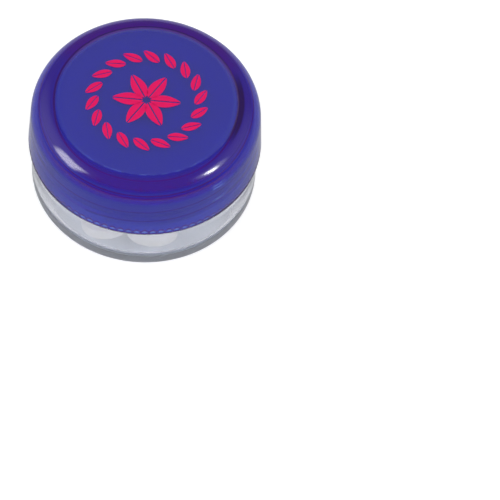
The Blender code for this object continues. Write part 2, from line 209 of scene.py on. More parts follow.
class MintPotThread(bpy.types.PropertyGroup):
    """Sizes of the two start thread on the neck and inside the lid."""

    starts: count("Starts", "Number of ridges side by side", 2, lowest=1)
    lead: length("Lead", "Rise of a ridge in one turn", 5.5)
    depth: length("Depth", "Height of a ridge over its wall", 1.0)
    root_width: length("Root width", "Width of a ridge where it leaves the wall", 1.5)
    crest_width: length("Crest width", "Width of a ridge at its top", 0.45)
    run_out: share("Run out", "Turns over which a ridge fades at each end", 0.07)
    first_angle: angle("First angle", "Where the first ridge on the neck starts", -62.0)
    neck_start: length("Neck start", "Height at which the ridges on the neck start", 14.25)
    neck_turns: number("Neck turns", "Length of a ridge on the neck", 1.0)
    lid_start: length("Lid start", "Height over the lid's edge at which its ridges start", 1.95)
    lid_turns: number("Lid turns", "Length of a ridge in the lid", 0.936)
    row_height: length("Row height", "Spacing of the mesh rows on a threaded wall", 0.1)


class MintPotLid(bpy.types.PropertyGroup):
    """Sizes of the tinted lid."""

    radius: length("Radius", "Outside of the skirt below the rounded edge", 22.7)
    fillet: length("Fillet", "Rounding of the top into the skirt", 4.8)
    edge_round: length("Edge rounding", "Rounding of the skirt's lower edge", 0.12)
    bore_radius: length("Bore radius", "Inside of the skirt between the ridges", 21.55)
    ceiling: length("Ceiling", "Height of the inside over the lower edge", 11.4)
    inner_fillet: length("Inner fillet", "Rounding of the inside of the skirt into the ceiling", 3.65)
    ring_radius: length("Ring radius", "Outside of the ring that presses on the seal disc", 20.1)
    ring_width: length("Ring width", "Width of the pressing ring", 2.1)
    ring_depth: length("Ring depth", "Depth of the pressing ring", 1.3)
    arch_height: length("Arch height", "Height of the small arches round the lower edge", 0.68)
    arch_foot: length("Arch foot", "Height of the arches' feet over the lower edge", 0.42)
    arch_depth: length("Arch depth", "Depth of the arches", 0.08)
    arches: count("Arches", "Number of arches round the edge", 91)


class MintPotSeal(bpy.types.PropertyGroup):
    """Sizes of the loose seal disc."""

    lip_radius: length("Lip radius", "Outside of the lip that enters the jar's mouth", 18.75)
    lip_width: length("Lip width", "Wall of that lip", 0.8)
    lip_depth: length("Lip depth", "Depth of that lip", 1.1)


class MintPotMints(bpy.types.PropertyGroup):
    """Sizes of a pressed mint."""

    radius: length("Radius", "Radius of a mint", 4.5)
    band: length("Band", "Height of the straight band round a mint", 2.4)
    crown: length("Crown", "Rise of each face over the band", 1.6)
    edge_round: length("Edge rounding", "Rounding between the band and a face", 0.16)
    grain: length("Grain", "Height of the unevenness of a mint", 0.08)
    grain_size: length("Grain size", "Size of the unevenness of a mint", 1.6)
    seed: count("Seed", "Seed of the small differences among the mints", 7, lowest=0)


class MintPotPrint(bpy.types.PropertyGroup):
    """Sizes of the leaf rosette printed on the lid."""

    ring_radius: length("Ring radius", "Radius of the circle of leaves", 9.6)
    leaf_length: length("Leaf length", "Length of a leaf in the ring", 4.1)
    leaf_width: length("Leaf width", "Width of a leaf in the ring", 1.9)
    leaves: count("Leaves", "Number of leaves in the ring", 18)
    petal_length: length("Petal length", "Length of a leaf in the middle", 6.0)
    petal_width: length("Petal width", "Width of a leaf in the middle", 2.9)
    petals: count("Petals", "Number of leaves in the middle", 6)
    petal_start: length("Petal start", "Distance of the middle leaves from the centre", 0.7)
    thickness: length("Thickness", "Thickness of the ink", 0.04)
    lift: length("Lift", "Height of the ink's underside over the lid", 0.02)
    lean: angle("Lean", "How far the leaves in the ring lean out of it", 28.0)


class MintPotColours(bpy.types.PropertyGroup):
    """Colours of the plastics, the ink and the mints."""

    clear: colour("Clear plastic", "Tint of the jar's surface", (0.975, 0.98, 0.985))
    # Painted shade: the colour laid on the jar's wall in front of its thick base
    base_band: colour("Base band", "Tint of the jar's wall in front of its base", (0.5, 0.53, 0.62))
    satin: colour("Satin plastic", "Tint of the jar's floor and underside", (0.9, 0.93, 0.97))
    blue: colour("Blue plastic", "Colour of the lid", (0.055, 0.062, 0.74))
    # Violet: the deeper dye where the lid is thick, and also painted shade on its shoulder
    violet: colour("Violet plastic", "Colour of the lid where it is thick", (0.1, 0.005, 0.30))
    # Painted shade: the darkest lines on the lid, for the shadow under its inner fillet and for dark
    # reflections
    dark: colour("Dark plastic", "Colour of the lid where it is thickest", (0.035, 0.002, 0.06))
    # The track colour is also laid as painted shade at the front, by the indigo lines
    track: colour("Track plastic", "Colour of the lid over its thread", (0.07, 0.004, 0.68))
    # Azure is also laid as painted highlights, among them glints of a lamp on the thread inside
    azure: colour("Azure plastic", "Colour of the lid where it is thin", (0.16, 0.28, 0.92))
    milky: colour("Seal plastic", "Colour of the seal disc", (0.30, 0.37, 0.31))
    ink: colour("Ink", "Colour of the print", (0.88, 0.009, 0.135))
    mint: colour("Mint", "Colour of the mints", (0.92, 0.92, 0.91))
    mint_shade: colour("Mint shade", "Colour of the pores in the mints", (0.84, 0.81, 0.76))
    stage: colour("Floor", "Colour of the floor", (0.68, 0.68, 0.68))


class MintPotStage(bpy.types.PropertyGroup):
    """Camera and light."""

    lens: FloatProperty(name="Lens", description="Focal length of the camera", default=250.0, unit="CAMERA")
    distance: length("Distance", "Camera distance from the lid's edge plane", 690.6)
    elevation: angle("Elevation", "Height of the camera's aim over the horizon", 55.98)
    roll: angle("Roll", "Turn of the camera about its aim", 4.98)
    pixel_x: number("Pixel across", "Where the lid's centre falls, from the left", 145.0)
    pixel_y: number("Pixel down", "Where the lid's centre falls, from the top", 138.3)
    ambient: share("Ambient", "Strength of the light from all round", 0.72)
    horizon: share("Horizon", "How bright the room round the pot shows in the gloss", 0.8)
    ceiling: share("Ceiling", "How bright the room over the pot shows in the gloss", 0.2)


class MintPotSettings(bpy.types.PropertyGroup):
    """All sizes and colours of the mint pot."""

    jar: group(MintPotJar, "Jar", "Sizes of the clear jar")
    thread: group(MintPotThread, "Thread", "Sizes of the thread")
    lid: group(MintPotLid, "Lid", "Sizes of the lid")
    seal: group(MintPotSeal, "Seal disc", "Sizes of the seal disc")
    mints: group(MintPotMints, "Mints", "Sizes of the mints")
    ink_print: group(MintPotPrint, "Lid print", "Sizes of the print")
    colours: group(MintPotColours, "Colours", "Colours of the pot")
    stage: group(MintPotStage, "Stage", "Camera and light")


def settings():
    """The pot's property group on the scene."""
    return bpy.context.scene.mint_pot


class Wiring:
    """Adds nodes to a tree and joins their sockets, so that a tree reads as a few sums."""

    def __init__(self, tree):
        self.tree = tree

    def feed(self, socket, value):
        """Links a socket to an input, or sets the input's value."""
        if isinstance(value, bpy.types.NodeSocket):
            self.tree.links.new(value, socket)
        else:
            socket.default_value = value

    def node(self, kind, values=None, **settings):
        """A node with its settings, and with the inputs in values fed, by their names or numbers."""
        made = self.tree.nodes.new(kind)
        for name, value in settings.items():
            setattr(made, name, value)
        for socket, value in (values or {}).items():
            self.feed(made.inputs[socket], value)
        return made

    def math(self, operation, *values):
        """The result of one sum."""
        return self.node("ShaderNodeMath", dict(enumerate(values)), operation=operation).outputs[0]

    def times(self, *values):
        """All the values multiplied."""
        return reduce(lambda made, value: self.math("MULTIPLY", made, value), values)

    def most(self, *values):
        """The highest of the values."""
        return reduce(lambda made, value: self.math("MAXIMUM", made, value), values)

    def plus(self, first, second):
        """One value and another."""
        return self.math("ADD", first, second)

    def minus(self, first, second):
        """One value less another."""
        return self.math("SUBTRACT", first, second)

    def over(self, first, second):
        """One value divided by another."""
        return self.math("DIVIDE", first, second)

    def vector(self, operation, *values):
        """The node of one vector sum."""
        return self.node("ShaderNodeVectorMath", dict(enumerate(values)), operation=operation)

    def ease(self, value, low, high):
        """Rises smoothly from 0 at low to 1 at high, or falls so where low is the higher."""
        limits = {"Value": value, "From Min": low, "From Max": high}
        return self.node("ShaderNodeMapRange", limits, interpolation_type="SMOOTHSTEP").outputs["Result"]

    def between(self, value, low, high):
        """A value from 0 to 1 spread between two numbers."""
        ends = {"Value": value, "To Min": low, "To Max": high}
        return self.node("ShaderNodeMapRange", ends).outputs["Result"]

    def mix(self, part, first, second):
        """The number at a part of the way from one number to another."""
        return self.node("ShaderNodeMix", {"Factor": part, 2: first, 3: second}, data_type="FLOAT").outputs[0]

    def tint(self, part, first, second):
        """The colour at a part of the way from one colour to another."""
        ends = {6: first, 7: second}
        for socket, end in ends.items():
            if not isinstance(end, bpy.types.NodeSocket):
                ends[socket] = (*end, 1.0)
        return self.node("ShaderNodeMix", {"Factor": part, **ends}, data_type="RGBA").outputs[2]

    def split(self, vector):
        """The three parts of a vector."""
        return self.node("ShaderNodeSeparateXYZ", {0: vector}).outputs

    def ring_place(self, radius, theta, height):
        """A place on a circle round the Z axis."""
        across = self.times(radius, self.math("COSINE", theta))
        along = self.times(radius, self.math("SINE", theta))
        return self.node("ShaderNodeCombineXYZ", {0: across, 1: along, 2: height}).outputs[0]

    def turn_about_z(self, theta):
        """A rotation about the Z axis."""
        given = {"Axis": (0.0, 0.0, 1.0), "Angle": theta}
        return self.node("FunctionNodeAxisAngleToRotation", given).outputs[0]

    def mark(self, name):
        """A material's view of a mark that a tree stored on the mesh."""
        return self.node("ShaderNodeAttribute", attribute_name=name).outputs["Fac"]

    def place(self):
        """A material's place on its piece."""
        return self.node("ShaderNodeTexCoord").outputs["Object"]

    def noise(self, size, detail):
        """A material's noise with features of one size, fixed to the piece."""
        given = {"Vector": self.place(), "Scale": 1.0 / size, "Detail": detail}
        return self.node("ShaderNodeTexNoise", given).outputs["Fac"]

    def bump(self, height, strength, distance):
        """A normal bent by a height."""
        given = {"Height": height, "Strength": strength, "Distance": distance}
        return self.node("ShaderNodeBump", given).outputs[0]


def new_tree(name, **inputs):
    """An empty geometry tree with a geometry input, the inputs named for each kind and a geometry output."""
    tree = bpy.data.node_groups.new(name, "GeometryNodeTree")
    tree.interface.new_socket("Geometry", in_out="INPUT", socket_type="NodeSocketGeometry")
    for kind, labels in inputs.items():
        for label in labels:
            tree.interface.new_socket(label, in_out="INPUT", socket_type=f"NodeSocket{kind}")
    tree.interface.new_socket("Material", in_out="INPUT", socket_type="NodeSocketMaterial")
    tree.interface.new_socket("Geometry", in_out="OUTPUT", socket_type="NodeSocketGeometry")
    w = Wiring(tree)
    return tree, w, w.node("NodeGroupInput").outputs


def finish_tree(w, geometry, material, soft=True):
    """Ends a tree: instances made real, shading, material and output."""
    real = w.node("GeometryNodeRealizeInstances", {"Geometry": geometry}).outputs[0]
    smooth = w.node("GeometryNodeSetShadeSmooth", {"Geometry": real, "Shade Smooth": soft}).outputs[0]
    made = w.node("GeometryNodeSetMaterial", {"Geometry": smooth, "Material": material}).outputs[0]
    w.node("NodeGroupOutput", {"Geometry": made})


def run_tree(make, name, mesh, values):
    """The plain mesh object that a tree, made once, makes from a mesh and the values of its inputs."""
    tree = bpy.data.node_groups.get(make.__name__) or make()
    carrier = bpy.data.objects.new(name, mesh)
    bpy.context.scene.collection.objects.link(carrier)
    modifier = carrier.modifiers.new(name, "NODES")
    modifier.node_group = tree
    for item in tree.interface.items_tree:
        if item.in_out == "INPUT" and item.name in values:
            modifier[item.identifier] = values[item.name]
    graph = bpy.context.evaluated_depsgraph_get()
    made = bpy.data.meshes.new_from_object(carrier.evaluated_get(graph), depsgraph=graph)
    carrier.modifiers.remove(modifier)
    if not made.polygons:
        raise RuntimeError(f"the tree made nothing for {name}")
    made.name = name
    carrier.data = made
    return carrier


def turned_plastic():
    """Turns an outline about Z, raises a thread on its threaded points, sinks arches in its arched ones."""
    counts = ("Columns", "Starts", "Arches")
    sizes = ("Lead", "First Angle", "First Height", "Turns", "Run Out", "Root Width", "Crest Width")
    sizes += ("Thread Depth", "Arch Height", "Arch Depth", "Arch Base")
    tree, w, given = new_tree("turned_plastic", Int=counts, Float=sizes)
    outline = given["Geometry"]
    rows = w.node("GeometryNodeAttributeDomainSize", {"Geometry": outline}).outputs["Point Count"]
    size = {"Vertices X": w.plus(given["Columns"], 1.0), "Vertices Y": rows}
    marked = w.node("GeometryNodeMeshGrid", size).outputs["Mesh"]
    index = w.node("GeometryNodeInputIndex").outputs[0]
    row = w.math("FLOORED_MODULO", index, rows)
    turns = w.over(w.math("FLOOR", w.over(index, rows)), given["Columns"])
    theta = w.times(turns, math.tau)

    def sampled(value, kind):
        """A value of the outline at this row."""
        wanted = {"Geometry": outline, "Index": row, "Value": value}
        return w.node("GeometryNodeSampleIndex", wanted, data_type=kind).outputs["Value"]

    radius, _, height = w.split(sampled(w.node("GeometryNodeInputPosition").outputs[0], "FLOAT_VECTOR"))
    marks = {}
    for mark in OUTLINE_MARKS:
        named = w.node("GeometryNodeInputNamedAttribute", {"Name": mark}, data_type="FLOAT")
        marks[mark] = sampled(named.outputs["Attribute"], "FLOAT")

    # The nearest ridge: how many turns it has made here, and how far off its middle is
    share_of_turn = w.minus(turns, w.over(given["First Angle"], math.tau))
    rise = w.minus(height, given["First Height"])
    ridges = w.minus(w.over(rise, given["Lead"]), share_of_turn)
    nearest = w.over(w.math("ROUND", w.times(ridges, given["Starts"])), given["Starts"])
    made_turns = w.plus(share_of_turn, nearest)
    off = w.math("ABSOLUTE", w.minus(rise, w.times(made_turns, given["Lead"])))
    ridge = w.minus(1.0, w.ease(off, w.over(given["Crest Width"], 2.0), w.over(given["Root Width"], 2.0)))
    left = w.minus(given["Turns"], made_turns)
    ends = w.times(w.ease(made_turns, 0.0, given["Run Out"]), w.ease(left, 0.0, given["Run Out"]))
    radius = w.plus(radius, w.times(ridge, ends, given["Thread Depth"], marks["threaded"]))

    # The arches: a row of shallow hollows over the lower edge, with flat feet and round tops. The outline of
    # one is where the reach is 1
    across = w.minus(w.math("FRACT", w.times(turns, given["Arches"])), 0.5)
    across = w.times(across, 2.0 / ARCH_SPAN_SHARE)
    up = w.over(w.minus(height, given["Arch Base"]), given["Arch Height"])
    reach = w.plus(w.times(across, across), w.most(up, 0.0))
    hollow = w.times(w.ease(reach, 1.0, 0.6), w.ease(up, -0.15, 0.1), marks["arched"])
    radius = w.minus(radius, w.times(hollow, given["Arch Depth"]))

    # How deep the plastic looks: above nothing over a ridge, and in a rim marked for violet round each arch
    # and along the edge under them; below nothing in an arch
    ridge_share = w.times(w.math("POWER", ridge, 2.0), ends, marks["threaded"])
    rim = w.times(w.ease(reach, 0.8, 1.05), w.ease(reach, 1.95, 1.45))
    rim = w.times(w.most(rim, w.ease(up, 0.0, -0.2)), marks["arched"])
    thick = w.plus(w.minus(ridge_share, hollow), rim)

    for name, value in (("thick", thick), ("outer", marks["outer"])):
        stored = {"Geometry": marked, "Name": name, "Value": value}
        marked = w.node("GeometryNodeStoreNamedAttribute", stored, data_type="FLOAT").outputs[0]
    spread = {"Geometry": marked, "Position": w.ring_place(radius, theta, height)}
    placed = w.node("GeometryNodeSetPosition", spread).outputs[0]
    closed = w.node("GeometryNodeMergeByDistance", {"Geometry": placed, "Distance": WELD_DISTANCE}).outputs[0]
    finish_tree(w, closed, given["Material"])
    return tree


def poured_mints():
    """Puts a copy of one mint on every point, along the point's own axis, each a little different."""
    tree, w, given = new_tree("poured_mints", Object=("Mint",), Int=("Seed",), Float=("Grain", "Grain Size"))
    mint = w.node("GeometryNodeObjectInfo", {"Object": given["Mint"]}).outputs["Geometry"]
    axis = w.node("GeometryNodeInputNamedAttribute", {"Name": "axis"}, data_type="FLOAT_VECTOR")
    upright = w.node("FunctionNodeAlignRotationToVector", {"Vector": axis.outputs["Attribute"]}, axis="Z")
    spin = w.node("FunctionNodeRandomValue", {"Seed": given["Seed"], 2: 0.0, 3: math.tau}, data_type="FLOAT")
    turn = {"Rotation": upright.outputs[0], "Rotate By": w.turn_about_z(spin.outputs[1])}
    turned = w.node("FunctionNodeRotateRotation", turn, rotation_space="LOCAL").outputs[0]
    copies = w.node(
        "GeometryNodeInstanceOnPoints", {"Points": given["Geometry"], "Instance": mint, "Rotation": turned}
    ).outputs[0]
    real = w.node("GeometryNodeRealizeInstances", {"Geometry": copies}).outputs[0]
    grain = {"Scale": w.over(1.0, given["Grain Size"]), "Detail": 3.0}
    shift = w.vector("SUBTRACT", w.node("ShaderNodeTexNoise", grain).outputs["Color"], (0.5, 0.5, 0.5))
    scaled = w.node("ShaderNodeVectorMath", {0: shift.outputs[0], "Scale": given["Grain"]}, operation="SCALE")
    rough = w.node("GeometryNodeSetPosition", {"Geometry": real, "Offset": scaled.outputs[0]}).outputs[0]
    finish_tree(w, rough, given["Material"])
    return tree


def printed_rosette():
    """Lays leaves round a circle, each turned by its place and leaning by one angle."""
    places = ("Radius", "Lean", "Height")
    tree, w, given = new_tree("printed_rosette", Object=("Leaf",), Int=("Count",), Float=places)
    leaf = w.node("GeometryNodeObjectInfo", {"Object": given["Leaf"]}).outputs["Geometry"]
    points = w.node("GeometryNodePoints", {"Count": given["Count"]}).outputs[0]
    theta = w.times(w.over(w.node("GeometryNodeInputIndex").outputs[0], given["Count"]), math.tau)
    spread = {"Geometry": points, "Position": w.ring_place(given["Radius"], theta, given["Height"])}
    placed = w.node("GeometryNodeSetPosition", spread).outputs[0]
    turned = w.turn_about_z(w.plus(theta, given["Lean"]))
    copies = w.node(
        "GeometryNodeInstanceOnPoints", {"Points": placed, "Instance": leaf, "Rotation": turned}
    ).outputs[0]
    finish_tree(w, copies, given["Material"], soft=False)
    return tree


def arc(centre, radius, start_degrees, end_degrees, steps):
    """Points (r, z) along part of a circle."""
    points = []
    for step in range(steps + 1):
        turn = math.radians(start_degrees + (end_degrees - start_degrees) * step / steps)
        points.append((centre[0] + radius * math.cos(turn), centre[1] + radius * math.sin(turn)))
    return points


def rounded(corners, steps=ROUND_STEPS):
    """Points (r, z) along an outline of corners (r, z, rounding)."""
    points = []
    for number, (r, z, rounding) in enumerate(corners):
        if rounding == 0 or number in (0, len(corners) - 1):
            points.append((r, z))
            continue
        corner = Vector((r, z))
        back = (Vector(corners[number - 1][:2]) - corner).normalized()
        ahead = (Vector(corners[number + 1][:2]) - corner).normalized()
        half = back.angle(ahead) / 2
        centre = corner + (back + ahead).normalized() * rounding / math.sin(half)
        start = corner + back * rounding / math.tan(half) - centre
        end = corner + ahead * rounding / math.tan(half) - centre
        first = math.atan2(start.y, start.x)
        sweep = math.remainder(math.atan2(end.y, end.x) - first, math.tau)
        points += arc(centre, rounding, math.degrees(first), math.degrees(first + sweep), steps)
    return points


def dense(points, spacing):
    """The same outline with its long stretches divided."""
    made = [points[0]]
    for (r0, z0), (r1, z1) in zip(points, points[1:]):
        pieces = max(1, math.ceil(math.hypot(r1 - r0, z1 - z0) / spacing))
        for piece in range(1, pieces + 1):
            part = piece / pieces
            made.append((r0 + (r1 - r0) * part, z0 + (z1 - z0) * part))
    return made


def outline_mesh(name, stretches, base=0.0):
    """An outline as a mesh of points on XZ, from stretches of (points, threaded, arched, outer), marked so.

    The tree's faces point outwards where the outline climbs the outside, so one that falls is turned round.
    """
    rows = []
    for points, *marks in stretches:
        for r, z in points:
            place = (r, 0.0, z + base)
            if not rows or math.dist(rows[-1][0], place) > WELD_DISTANCE:
                rows.append((place, *marks))
    places = [row[0] for row in rows]
    around = sum(a[0] * b[2] - b[0] * a[2] for a, b in zip(places, places[1:] + places[:1]))
    if around < 0:
        rows.reverse()
    places, *marks = zip(*rows)
    mesh = bpy.data.meshes.new(name)
    mesh.from_pydata(places, [(k, k + 1) for k in range(len(places) - 1)], [])
    for mark, values in zip(OUTLINE_MARKS, marks):
        mesh.attributes.new(mark, "FLOAT", "POINT").data.foreach_set("value", values)
    return mesh


def turn_piece(name, mesh, material, columns, **values):
    """A piece turned from an outline mesh, plain but for the inputs given in values."""
    thread = settings().thread
    given = {
        "Columns": columns,
        "Starts": thread.starts,
        "Lead": thread.lead,
        "Root Width": thread.root_width,
        "Crest Width": thread.crest_width,
        "Run Out": thread.run_out,
        "Arches": 1,
        "Arch Height": 1.0,
        "Material": material,
        **values,
    }
    return run_tree(turned_plastic, name, mesh, given)


def new_material(name):
    """A material with an empty tree and its output."""
    material = bpy.data.materials.new(name)
    material.use_nodes = True
    material.node_tree.nodes.clear()
    w = Wiring(material.node_tree)
    return material, w, w.node("ShaderNodeOutputMaterial")


def let_lamps_through(w, output, shader, shade):
    """Ends a material: rays from lamps pass straight through, dimmed by a shade, and reach what it covers."""
    lamps = w.node("ShaderNodeLightPath").outputs["Is Shadow Ray"]
    clear = w.node("ShaderNodeBsdfTransparent", {"Color": (*shade, 1.0)})
    both = w.node("ShaderNodeMixShader", {0: lamps, 1: shader.outputs[0], 2: clear.outputs[0]})
    w.feed(output.inputs["Surface"], both.outputs[0])


def moulded_plastic(w, output, tint, clarity, soaked, density, shade, inside_roughness):
    """Moulded plastic that light passes, with faint flow waves and fine scuffs.

    Its colour deepens towards the soaked one with thickness, by its density.
    """
    waves = w.noise(9.0 * MM, 2.0)
    scuffs = w.noise(1.2 * MM, 4.0)
    look = {
        "Base Color": tint,
        "Roughness": w.mix(w.mark("outer"), inside_roughness, w.between(scuffs, 0.01, 0.05)),
        "IOR": PLASTIC_IOR,
        "Transmission Weight": clarity,
        "Normal": w.bump(waves, 0.05, 0.1 * MM),
    }
    let_lamps_through(w, output, w.node("ShaderNodeBsdfPrincipled", look), shade)
    inside = w.node("ShaderNodeVolumeAbsorption", {"Color": (*soaked, 1.0), "Density": density})
    w.feed(output.inputs["Volume"], inside.outputs[0])


def polar_place(w):
    """A material's place as x, y, height and distance from the Z axis."""
    x, y, height = w.split(w.place())
    return x, y, height, w.math("SQRT", w.plus(w.times(x, x), w.times(y, y)))


def clear_styrene():
    """The jar's clear plastic: a breath of blue in its depth, a satin floor and underside, painted shade by
    the foot.
    """
    material, w, output = new_material("clear_styrene")
    colours, jar = settings().colours, settings().jar
    outer = w.mark("outer")
    _, _, height, radius = polar_place(w)
    outside = w.math("GREATER_THAN", radius, (jar.bore_radius + jar.body_radius) / 2)
    # Painted shade on the outer wall in front of the thick base, and below it a share of that shade and some
    # haze
    starts, full, fades, gone = (edge * MM for edge in PAINTED_BASE_SHADE)
    band = w.times(w.ease(height, starts, full), w.ease(height, gone, fades), outside)
    low, high, dark, hazy = FOOT_PAINTED_SHADE_AND_HAZE
    below = w.times(w.ease(height, high * MM, low * MM), outside)
    band = w.most(band, w.times(below, dark))
    tint = w.tint(band, w.tint(outer, colours.satin, colours.clear), colours.base_band)
    clarity = w.math("MULTIPLY_ADD", below, -hazy, w.between(outer, 0.7, 0.97))
    soaked = (0.12, 0.2, 0.55)
    moulded_plastic(w, output, tint, clarity, soaked, density=16.0, shade=CLEAR_SHADE, inside_roughness=0.4)
    return material


def lines(w, along, sides, table):
    """The strongest of the lines in a table at a distance from the middle, each weighed by its side."""
    strongest = 0.0
    for middle, slide, half_width, softness, strength, side in table:
        there = w.math("MULTIPLY_ADD", sides["front"], slide * MM, middle * MM)
        off = w.math("ABSOLUTE", w.minus(along, there))
        line = w.minus(1.0, w.ease(off, half_width * MM, (half_width + softness) * MM))
        strongest = w.most(strongest, w.times(line, strength, sides[side]))
    return w.times(strongest, w.mark("outer"))


def thread_tracks(w, x, y, height):
    """The soft lines that the thread inside shows on the lid's skirt."""
    thread = settings().thread
    *sizes, shown = TRACK_LINES
    at_x, lowest, highest, fade, half_width, softness = (size * MM for size in sizes)
    turn = w.over(w.math("ARCTAN2", y, x), math.tau)
    climb = w.minus(w.over(w.minus(height, at_x), thread.lead), turn)
    off = w.math("PINGPONG", w.times(climb, float(thread.starts)), 0.5)
    pitch = thread.lead / thread.starts
    tracks = w.ease(off, (half_width + softness) / pitch, half_width / pitch)
    ends = w.times(w.ease(height, lowest - fade, lowest), w.ease(height, highest + fade, highest))
    return w.times(tracks, ends, shown, w.mark("outer"))


def blue_styrene():
    """The lid's cobalt plastic, a little hazy: violet where thick, azure where thin, and painted shade and
    highlights.
    """
    material, w, output = new_material("blue_styrene")
    colours = settings().colours
    depth, outer = w.mark("thick"), w.mark("outer")
    x, y, height, radius = polar_place(w)
    along = w.plus(radius, w.minus(LID_HIGH.z, height))
    across, ahead = w.over(x, radius), w.over(y, radius)
    front = w.ease(ahead, -0.1, -0.95)
    sides = {
        "all": 1.0,
        "front": front,
        "behind": w.minus(1.0, w.times(front, 0.85)),
        "back": w.ease(ahead, 0.0, 0.7),
        "right": w.ease(across, 0.86, 0.98),
        "flanks": w.ease(w.math("ABSOLUTE", across), 0.4, 0.75),
        # Glints: painted highlights where a lamp shows on the thread inside, right of the front
        "glint": w.times(w.ease(across, 0.62, 0.67), w.ease(across, 0.76, 0.71), front),
        # The front broken up by noise: patchy dark reflections on the shoulder and pale strokes by the disc's
        # edge, both painted
        "patchy_front": w.times(front, w.ease(w.noise(1.6 * MM, 2.0), 0.4, 0.6)),
    }
    # In turn: the shoulder's violet, partly painted shade; painted shade in indigo; the darkest painted shade
    # and dark reflections; painted highlights in azure
    shoulder, indigo_shade, dark, light = (
        lines(w, along, sides, table) for table in (SHOULDER_LINES, INDIGO_SHADE_LINES, PAINTED_SHADE_LINES, PAINTED_LIGHT_LINES)
    )
    flow = w.between(w.noise(5.0 * MM, 3.0), 0.75, 1.05)
    inside = w.times(w.most(depth, 0.0), w.between(outer, 0.1, 1.0))
    # The plastic over the thread, and the shoulder's violet, which is partly painted shade
    deep = w.math("MINIMUM", w.times(w.most(inside, shoulder), flow), 1.0)
    # Thin plastic in the arches, and the painted highlights
    thin = w.math("MINIMUM", w.most(w.times(depth, -1.0), light), 1.0)
    # The thread's tracks, and painted shade at the front in the same indigo
    tracks = w.most(thread_tracks(w, x, y, height), indigo_shade)
    tint = w.tint(tracks, colours.blue, colours.track)
    tint = w.tint(deep, tint, colours.violet)
    tint = w.tint(thin, tint, colours.azure)
    # The darkest lines: painted shade and dark reflections
    tint = w.tint(dark, tint, colours.dark)
    clarity = w.math("MULTIPLY_ADD", w.most(deep, thin, dark), -0.4, w.between(outer, 0.55, 0.82))
    soaked = (0.1, 0.1, 0.8)
    moulded_plastic(w, output, tint, clarity, soaked, density=420.0, shade=BLUE_SHADE, inside_roughness=0.28)
    return material


def milky_polyethylene():
    """The seal disc's thin soft plastic: it scatters most light and lets lamps shine through."""
    material, w, output = new_material("milky_polyethylene")
    cloud = w.noise(4.0 * MM, 3.0)
    grain = w.noise(0.25 * MM, 3.0)
    milky = settings().colours.milky
    look = {
        "Base Color": w.tint(cloud, milky, tuple(value * 0.93 for value in milky)),
        "Roughness": w.between(grain, 0.34, 0.46),
        "IOR": SOFT_PLASTIC_IOR,
        "Normal": w.bump(grain, 0.2, 0.03 * MM),
    }
    let_lamps_through(w, output, w.node("ShaderNodeBsdfPrincipled", look), MILKY_SHADE)
    return material


def pressed_sugar():
    """The mints: white, powdery, with fine pores and a little cream in their depth."""
    material, w, output = new_material("pressed_sugar")
    colours = settings().colours
    powder = w.noise(0.16 * MM, 5.0)
    clouds = w.noise(2.4 * MM, 3.0)
    cells = {"Vector": w.place(), "Scale": 1.0 / (0.5 * MM)}
    pores = w.node("ShaderNodeTexVoronoi", cells).outputs["Distance"]
    worn = w.times(w.ease(clouds, 0.35, 0.75), 0.5)
    height = w.plus(w.times(powder, 0.6), w.times(w.ease(pores, 0.0, 0.22), 0.4))
    look = {
        "Base Color": w.tint(worn, colours.mint, colours.mint_shade),
        "Roughness": w.between(powder, 0.55, 0.8),
        "Specular IOR Level": 0.3,
        "Subsurface Weight": 0.2,
        "Subsurface Radius": (1.0, 0.9, 0.8),
        "Subsurface Scale": 0.6 * MM,
        "Normal": w.bump(height, 0.35, 0.05 * MM),
    }
    w.feed(output.inputs["Surface"], w.node("ShaderNodeBsdfPrincipled", look).outputs[0])
    return material


def screen_ink():
    """The print: matt ink with the faint unevenness of a pad print."""
    material, w, output = new_material("screen_ink")
    ink = settings().colours.ink
    film = w.noise(0.7 * MM, 4.0)
    look = {
        "Base Color": w.tint(film, ink, tuple(value * 0.93 for value in ink)),
        "Roughness": w.between(film, 0.4, 0.6),
        "Specular IOR Level": 0.15,
        "Normal": w.bump(film, 0.08, 0.02 * MM),
    }
    w.feed(output.inputs["Surface"], w.node("ShaderNodeBsdfPrincipled", look).outputs[0])
    return material


